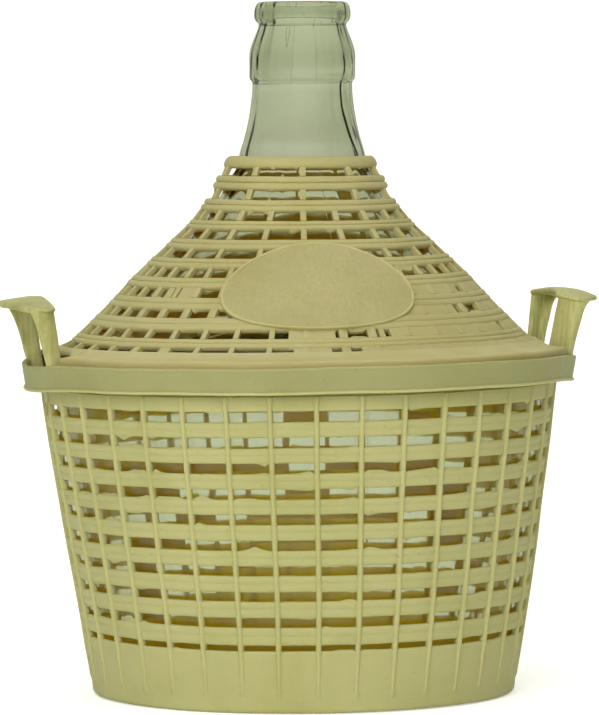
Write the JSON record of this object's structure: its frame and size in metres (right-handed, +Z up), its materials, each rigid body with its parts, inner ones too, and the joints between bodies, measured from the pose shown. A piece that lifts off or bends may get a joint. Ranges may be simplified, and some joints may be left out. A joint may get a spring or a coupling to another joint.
{
  "type": "plastic-covered demijohn",
  "caption": "Glass demijohn in a tapered plastic lattice basket, with a conical lattice cover over its shoulder and upright loop handles at the rim, for holding and carrying liquids.",
  "frame": {"origin": "centre of the flat underside of the basket, on the surface it stands on", "axes": "+Z up along the bottle's axis, X through the two handles, -Y towards the side with the oval plate"},
  "size_m": [0.2784, 0.2558, 0.32],
  "materials": {
    "basket_plastic": "satin moulded polyethylene, cream, slightly translucent",
    "cover_plastic": "satin moulded polyethylene, cream, slightly translucent",
    "bottle_glass": "clear blown glass with a faint grey-green tint"
  },
  "bodies": {
    "basket": {"lower_basket": "basket_plastic", "handle_left": "basket_plastic", "handle_right": "basket_plastic"},
    "bottle": {"glass_bottle": "bottle_glass"},
    "cover": {"upper_cover": "cover_plastic"}
  },
  "joints": [
    {"name": "bottle_lift", "type": "slide", "parent": "basket", "child": "bottle", "axis": [0, 0, 1], "range_m": [0, 0.2]},
    {"name": "cover_lift", "type": "slide", "parent": "bottle", "child": "cover", "axis": [0, 0, 1], "range_m": [0, 0.18]}
  ]
}
